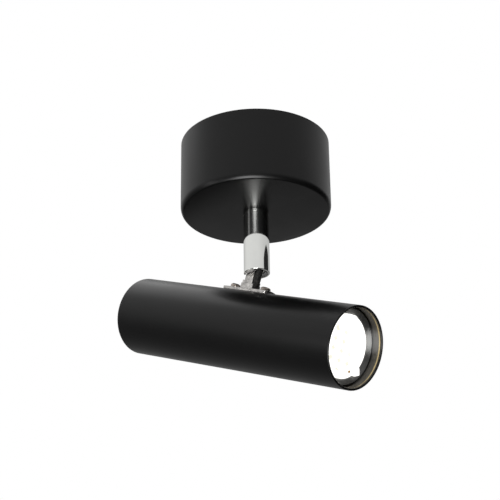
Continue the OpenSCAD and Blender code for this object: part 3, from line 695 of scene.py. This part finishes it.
def make_canopy():
    """Canopy whose lower edge is taller than it is deep, as pressing leaves it."""
    shape = skin_of("canopy")
    for vert in shape.verts:
        across = math.hypot(vert.co.x, vert.co.y) / MM - CANOPY_R + CANOPY_EDGE
        down = CANOPY_EDGE - CANOPY_H - vert.co.z / MM
        if across > -0.01 and down > -0.01 and abs(math.hypot(across, down) - CANOPY_EDGE) < 0.06:
            turn = math.atan2(down, across)
            radius = CANOPY_R - CANOPY_EDGE_DEPTH * (1 - math.cos(turn))
            height = CANOPY_EDGE_HEIGHT * (1 - math.sin(turn)) - CANOPY_H
            scale = radius * MM / math.hypot(vert.co.x, vert.co.y)
            vert.co = (scale * vert.co.x, scale * vert.co.y, height * MM)
    made = make_piece("canopy_shell", shape, "canopy")
    round_edges(made, CANOPY_RADIUS)
    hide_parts("canopy")


def make_collar():
    """Collar of the stem: a neck, a groove turned in it, and a thin skirt over the joint with the sleeve."""
    shape = bmesh.new()
    top, neck, groove, skirt = COLLAR_TOP, STEM_R - 0.5, STEM_R - 0.9, STEM_R + 0.03
    hem, joint = SLEEVE_TOP - 0.35, STEM_R + 0.005
    turned(shape, ((top, STEM_BORE), (top, neck), (top - 0.65, neck), (top - 0.65, groove),
                   (top - 0.95, groove), (top - 0.95, skirt), (hem, skirt), (hem, joint),
                   (SLEEVE_TOP, joint), (SLEEVE_TOP, STEM_BORE)))
    bmesh.ops.transform(shape, matrix=UPRIGHT, verts=shape.verts)
    made = make_piece("collar_ring", shape, "stem_collar", [EXTRA["collar"]])
    flatten(made)
    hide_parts("stem_collar")


def make_black_sleeve():
    """Sleeve round the wires, from the joint to the saddle, slightly crumpled."""
    shape = bmesh.new()
    low, high = BLACK_SLEEVE_SPAN
    bmesh.ops.create_cone(shape, cap_ends=True, segments=32, radius1=BLACK_SLEEVE_R * MM,
                          radius2=BLACK_SLEEVE_R * MM, depth=(high - low) * MM)
    sides = [edge for edge in shape.edges if abs(edge.verts[0].co.z - edge.verts[1].co.z) > 1e-6]
    bmesh.ops.subdivide_edges(shape, edges=sides, cuts=40)
    bmesh.ops.translate(shape, verts=shape.verts, vec=(0, 0, (high + low) / 2 * MM))
    for vert in shape.verts:
        swell = 1.0 + 0.07 * noise.noise(vert.co * 420.0) + 0.03 * noise.noise(vert.co * 1100.0)
        vert.co.x *= swell
        vert.co.y *= swell
    x, y = BLACK_SLEEVE_PLACE
    bmesh.ops.translate(shape, verts=shape.verts, vec=(x * MM, y * MM, 0))
    bmesh.ops.transform(shape, matrix=HEAD, verts=shape.verts)
    made = make_piece("black_wire_sleeve", shape, "wire_sleeve")
    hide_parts("wire_sleeve")


def make_rim():
    """Rim of the lamp, with a funnel round the bright face."""
    shape = bmesh.new()
    turned(shape, RIM_OUTLINE)
    soften(shape, ring_edges(shape, *RIM_OUTLINE[4]) + ring_edges(shape, *RIM_OUTLINE[3]), RIM_RADIUS, 2)
    bmesh.ops.transform(shape, matrix=TUBE, verts=shape.verts)
    made = make_piece("lamp_rim_ring", shape, "lamp_rim")
    flatten(made)
    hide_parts("lamp_rim")


def turn_about(shape, verts, degrees, axis):
    """Turns some vertices about an axis through the origin."""
    matrix = Matrix.Rotation(math.radians(degrees), 3, axis)
    bmesh.ops.rotate(shape, cent=(0, 0, 0), matrix=matrix, verts=verts)


def make_lens():
    """Bright face of the lamp: a plate with its lug, and oblong domes in rows."""
    shape = bmesh.new()
    back = LENS_X - LENS_DEPTH
    turned(shape, ((back, 0.0), (back, LENS_R), (LENS_X - LENS_EDGE, LENS_R),
                   (LENS_X, LENS_R - LENS_EDGE), (LENS_X, WEB_R + 0.1), (LENS_X, 0.0)), 96)
    lug = bmesh.ops.create_cube(shape, size=1.0)["verts"]
    bmesh.ops.scale(shape, vec=[side * MM for side in LUG_SIZE], verts=lug)
    turn_about(shape, lug, LUG_LEAN, "X")
    bmesh.ops.translate(shape, vec=((LENS_X - LUG_SINK) * MM, 0, LENS_R * MM), verts=lug)
    turn_about(shape, lug, LUG_TURN, "X")
    soften(shape, list({edge for vert in lug for edge in vert.link_edges}), LUG_RADIUS, 3)
    plate_faces = set(shape.faces)
    for row in range(-4, 5):
        for column in range(-3, 4):
            y, z = DOME_START[0] + DOME_STEP[0] * column, DOME_START[1] + DOME_STEP[1] * row
            if math.hypot(y, z) > DOMES_R:
                continue
            dome = bmesh.ops.create_uvsphere(shape, u_segments=24, v_segments=16, radius=1.0)["verts"]
            bmesh.ops.scale(shape, vec=[half * MM for half in DOME_HALF], verts=dome)
            bmesh.ops.translate(shape, vec=((LENS_X - DOME_SINK) * MM, y * MM, z * MM), verts=dome)
            faces = {face for vert in dome for face in vert.link_faces}
            under = [face for face in faces if face.calc_center_median().x < (LENS_X - 0.6) * MM]
            bmesh.ops.delete(shape, geom=under, context="FACES")
    web, lit = range(2)
    for face in shape.faces:
        middle = face.calc_center_median()
        outer = math.hypot(middle.y, middle.z) > WEB_R * MM and middle.x > (back + 0.1) * MM
        face.material_index = web if face in plate_faces and not outer else lit
    bmesh.ops.transform(shape, matrix=TUBE, verts=shape.verts)
    made = make_piece("lens_face", shape, "lamp_optic", [EXTRA["web"], FINISHES["lamp_optic_plastic"]])
    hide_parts("lamp_optic")


def make_gate_mark():
    """Small mark that the mould left on the lens, near the lug."""
    mark = bmesh.new()
    bmesh.ops.create_cone(mark, cap_ends=True, segments=24, radius1=GATE_BACK_R * MM,
                          radius2=GATE_FRONT_R * MM, depth=GATE_DEPTH * MM)
    turn_about(mark, mark.verts, 90, "Y")
    y, z = GATE_PLACE
    bmesh.ops.translate(mark, vec=((LENS_X + 0.6) * MM, y * MM, z * MM), verts=mark.verts)
    bmesh.ops.transform(mark, matrix=TUBE, verts=mark.verts)
    make_piece("lens_gate_mark", mark, "lamp_optic", [EXTRA["gate"]])


make_tube()
make_lens()
make_gate_mark()
make_canopy()
make_collar()
make_black_sleeve()
rounded_copy("tongue_casting", "tongue_bracket", TONGUE_RADIUS)
rounded_copy("saddle_screw_pair", "saddle_screws", SCREW_RADIUS)
make_rim()
for bunch in ("supply", "stem", "head"):
    wires(f"{bunch}_wires", [f"{bunch}_wire_{word}" for word in ("neutral", "live", "earth")],
          [EXTRA["blue"], FINISHES["wire_insulation"], EXTRA["earth"]])


# Studio

# Camera fitted to the outlines in the photograph: angles in degrees, the rest in millimetres
CAMERA_TURN = -50.483
CAMERA_RISE = -25.242
CAMERA_ROLL = -0.749
CAMERA_AIM = (-5.919, 0.0, -80.524)
CAMERA_FAR = 1018.995
CAMERA_LENS = 105.127
CAMERA_SENSOR = 36.0

# Sizes of the studio in metres, with the turn of the card in degrees and the power of the glow in watts
MIDDLE = Vector((0.0, 0.0, -0.09))
BOX_FAR = 1.5
FLOOR_DEPTH = 1.5
FLOOR_HALF = 14.0
FLOOR_WHITE = 0.45
CARD_SIZE = (0.187, 0.4)
CARD_PLACE = (-0.0115, -0.176, -0.201)
CARD_TURN = 134
GLOW_SIZE = 0.04
GLOW_POWER = 0.004

# What polished and painted surfaces mirror: four walls, on the camera's side, to its left, behind the
# light and to its right, each with a level low down and one high up, and a dark ground and a pale sky
WALLS = (-50.5, -140.5, 129.5, 39.5)
LOW = (0.14, 0.18, 0.3, 0.06)
HIGH = (0.84, 0.88, 0.5, 0.69)
GROUND = 0.03
SKY = 0.6
# Level of the even light from all round
PLAIN = 0.55


def direction(turn, rise):
    """Unit vector at a compass turn and a height angle, in degrees."""
    turn, rise = math.radians(turn), math.radians(rise)
    return Vector((math.cos(rise) * math.cos(turn), math.cos(rise) * math.sin(turn), math.sin(rise)))


def toward(turn, rise):
    """Place of a soft box in a direction from the middle of the light."""
    return direction(turn, rise) * BOX_FAR + MIDDLE


def soft_box(name, place, aim, size, power, colour=(1.0, 1.0, 1.0), shape="RECTANGLE", lit="all"):
    """A flat lamp of a given size in metres that shines at a point, with its power in watts.
    Lit says whether it shows in all surfaces, only in their gloss, or only in their colour."""
    lamp = bpy.data.lights.new(name, "AREA")
    lamp.shape = shape
    lamp.size, lamp.size_y = size
    lamp.energy = power
    lamp.color = colour
    made = bpy.data.objects.new(name, lamp)
    bpy.context.scene.collection.objects.link(made)
    made.location = place
    made.rotation_euler = (Vector(aim) - Vector(place)).to_track_quat("-Z", "Y").to_euler()
    made.visible_camera = False
    made.visible_diffuse = lit != "gloss"
    made.visible_glossy = lit != "colour"
    return made


def camera_axes():
    """Right, up and back directions of the camera that took the photograph."""
    roll = math.radians(CAMERA_ROLL)
    back = direction(CAMERA_TURN, CAMERA_RISE)
    right = (-back).cross(Vector((0, 0, 1))).normalized()
    up = right.cross(-back)
    return (math.cos(roll) * right + math.sin(roll) * up, math.cos(roll) * up - math.sin(roll) * right, back)


def make_camera():
    """The camera of the photograph, turned to a point near the middle of the light."""
    right, up, back = camera_axes()
    place = Vector(CAMERA_AIM) * MM + back * CAMERA_FAR * MM
    camera = bpy.data.cameras.new("camera")
    camera.sensor_width = CAMERA_SENSOR
    camera.lens = CAMERA_LENS
    camera.clip_start = 0.01
    made = bpy.data.objects.new("camera", camera)
    bpy.context.scene.collection.objects.link(made)
    made.matrix_world = Matrix((
        (right[0], up[0], back[0], place[0]),
        (right[1], up[1], back[1], place[1]),
        (right[2], up[2], back[2], place[2]),
        (0, 0, 0, 1)))
    bpy.context.scene.camera = made


def stage_material(name, grey, rough):
    """A plain material of the studio, with its shader."""
    material = bpy.data.materials.new(name)
    material.use_nodes = True
    shader = material.node_tree.nodes["Principled BSDF"]
    shader.inputs["Base Color"].default_value = (grey, grey, grey, 1.0)
    shader.inputs["Roughness"].default_value = rough
    return material, shader


def stage_object(name, shape, material):
    """An object of the studio, which isn't part of the light."""
    mesh = bpy.data.meshes.new(name)
    shape.to_mesh(mesh)
    shape.free()
    mesh.materials.append(material)
    made = bpy.data.objects.new(name, mesh)
    bpy.context.scene.collection.objects.link(made)
    return made


def make_floor():
    """A plain pale floor far below the light, white to the camera but for the shadow on it."""
    shape = bmesh.new()
    bmesh.ops.create_grid(shape, x_segments=1, y_segments=1, size=FLOOR_HALF)
    bmesh.ops.translate(shape, verts=shape.verts, vec=(0, 0, -FLOOR_DEPTH))
    material, shader = stage_material("pale floor", 0.9, 0.8)
    shader.inputs["Specular IOR Level"].default_value = 0.1
    shader.inputs["Emission Color"].default_value = (1.0, 1.0, 1.0, 1.0)
    tree = Tree(material.node_tree)
    path = tree.add("ShaderNodeLightPath")
    white = tree.math("MULTIPLY", path.outputs["Is Camera Ray"], FLOOR_WHITE)
    tree.link(white, shader.inputs["Emission Strength"])
    stage_object("floor", shape, material).visible_glossy = False


def make_world():
    """White to the camera, an even light on the surfaces, and the walls in what they mirror."""
    world = bpy.data.worlds.new("studio")
    bpy.context.scene.world = world
    world.use_nodes = True
    tree = Tree(world.node_tree)
    world.node_tree.nodes.clear()
    path = tree.add("ShaderNodeLightPath")
    place = tree.add("ShaderNodeTexCoord")
    parts = tree.add("ShaderNodeSeparateXYZ")
    tree.link(place.outputs["Generated"], parts.inputs[0])
    x, y, z = parts.outputs
    flat = tree.math("SUBTRACT", 1.0, tree.math("MULTIPLY", z, z))
    far = tree.math("SQRT", tree.math("MAXIMUM", 0.0001, flat))
    low, high = 0.0, 0.0
    for turn, low_level, high_level in zip(WALLS, LOW, HIGH):
        turn = math.radians(turn)
        across = tree.math("ADD", tree.math("MULTIPLY", x, math.cos(turn)),
                           tree.math("MULTIPLY", y, math.sin(turn)))
        side = tree.math("POWER", tree.math("MAXIMUM", 0.0, tree.math("DIVIDE", across, far)), 2.0)
        low = tree.math("ADD", low, tree.math("MULTIPLY", side, low_level))
        high = tree.math("ADD", high, tree.math("MULTIPLY", side, high_level))
    level = tree.blend(tree.ranged(z, -0.85, -0.6), GROUND, low)
    level = tree.blend(tree.ranged(z, -0.12, 0.4), level, high)
    level = tree.blend(tree.ranged(z, 0.6, 0.85), level, SKY)
    seen = tree.add("ShaderNodeBackground", Color=(1.0, 1.0, 1.0, 1.0), Strength=1.0)
    mirrored = tree.add("ShaderNodeBackground", Color=(1.0, 1.0, 1.0, 1.0))
    tree.link(level, mirrored.inputs["Strength"])
    light = tree.add("ShaderNodeBackground", Color=(1.0, 1.0, 1.0, 1.0), Strength=PLAIN)
    glossy = tree.add("ShaderNodeMixShader")
    tree.link(path.outputs["Is Glossy Ray"], glossy.inputs[0])
    tree.link(light.outputs[0], glossy.inputs[1])
    tree.link(mirrored.outputs[0], glossy.inputs[2])
    white = tree.add("ShaderNodeMixShader")
    direct = tree.math("MAXIMUM", path.outputs["Is Camera Ray"], path.outputs["Is Transmission Ray"])
    tree.link(direct, white.inputs[0])
    tree.link(glossy.outputs[0], white.inputs[1])
    tree.link(seen.outputs[0], white.inputs[2])
    out = tree.add("ShaderNodeOutputWorld")
    tree.link(white.outputs[0], out.inputs[0])


def make_card():
    """A dark card that stands beside the stem, out of the camera's sight, and shows in the chrome."""
    shape = bmesh.new()
    bmesh.ops.create_grid(shape, x_segments=1, y_segments=1, size=0.5)
    bmesh.ops.scale(shape, vec=(*CARD_SIZE, 1.0), verts=shape.verts)
    turn_about(shape, shape.verts, 90, "X")
    bmesh.ops.translate(shape, vec=CARD_PLACE, verts=shape.verts)
    turn_about(shape, shape.verts, CARD_TURN, "Z")
    card = stage_object("dark_card", shape, stage_material("dark card", 0.01, 1.0)[0])
    card.visible_camera = False
    card.visible_diffuse = False
    card.visible_shadow = False
    card.visible_transmission = False


def make_lamp_glow():
    """The weak warm light that the lit lens throws on the mouth of the tube."""
    place = TUBE @ Vector(((LENS_X + 1.3) * MM, 0, 0))
    ahead = TUBE @ Vector((0.5, 0, 0))
    glow = soft_box("lamp glow", place, ahead, (GLOW_SIZE, GLOW_SIZE), GLOW_POWER,
                    colour=(1.0, 0.82, 0.5), shape="DISK")
    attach(glow, "lamp")


make_camera()
make_floor()
make_world()
make_card()
soft_box("low oval box", toward(-62, -43), MIDDLE, (0.9, 1.5), 42.0, shape="ELLIPSE", lit="gloss")
soft_box("low side strip", toward(-119, -18), MIDDLE, (0.34, 1.3), 3.8, lit="gloss")
soft_box("high rear box", toward(180, 58), MIDDLE, (1.2, 1.2), 5.0)
soft_box("key box", toward(-80, 10), MIDDLE, (0.8, 0.8), 9.0, lit="colour")
make_lamp_glow()
bpy.context.scene.view_settings.view_transform = "Standard"
